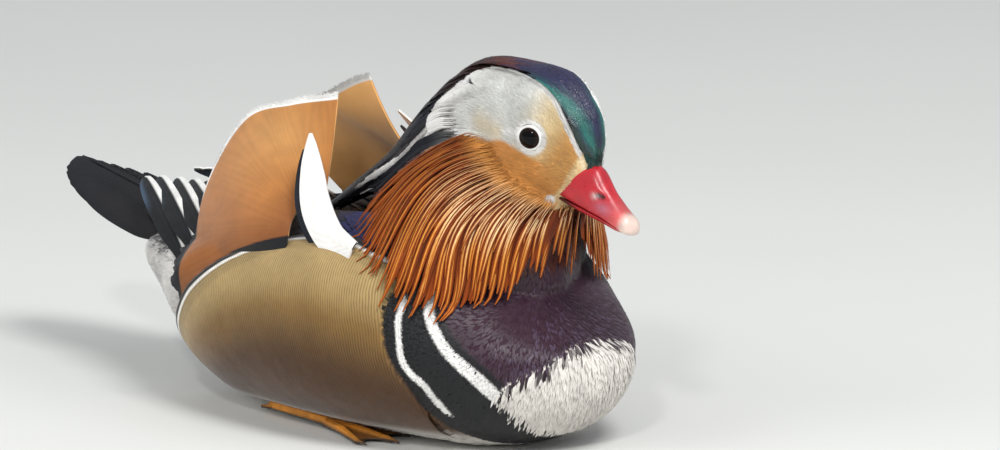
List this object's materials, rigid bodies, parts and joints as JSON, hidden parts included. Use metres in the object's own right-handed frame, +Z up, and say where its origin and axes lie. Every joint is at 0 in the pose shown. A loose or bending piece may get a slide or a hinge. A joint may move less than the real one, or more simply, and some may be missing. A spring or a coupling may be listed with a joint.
{
  "type": "duck figure",
  "caption": "Life-size mandarin drake resting on its belly, with raised orange sail feathers, a swept crest and a long whiskered ruff",
  "frame": {"origin": "on the floor, under the middle of the bird's bounding box", "axes": "+X towards the bill, +Y to the bird's left, +Z up"},
  "size_m": [0.3454, 0.1438, 0.1633],
  "materials": {
    "flank_gold": "soft body feathers",
    "ruff_orange": "long silky feathers",
    "face_white": "short soft feathers",
    "crest_green": "glossy feathers with a metallic sheen",
    "bill_red": "smooth horn",
    "eye_black": "wet and glossy",
    "wing_dark": "stiff flight feathers",
    "sail_orange": "stiff flight feathers",
    "scapular_white": "stiff feathers",
    "leg_orange": "scaly skin"
  },
  "bodies": {
    "root": {"torso": "flank_gold", "head": "face_white", "neck": "ruff_orange", "crest": "crest_green", "bill_upper": "bill_red", "bill_lower": "bill_red", "eye_right": "eye_black", "eye_left": "eye_black", "wing_right": "wing_dark", "wing_left": "wing_dark", "sail_right": "sail_orange", "sail_left": "sail_orange", "scapulars_right": "scapular_white", "scapulars_left": "scapular_white", "tail": "wing_dark", "leg_right": "leg_orange", "leg_left": "leg_orange"}
  },
  "joints": []
}
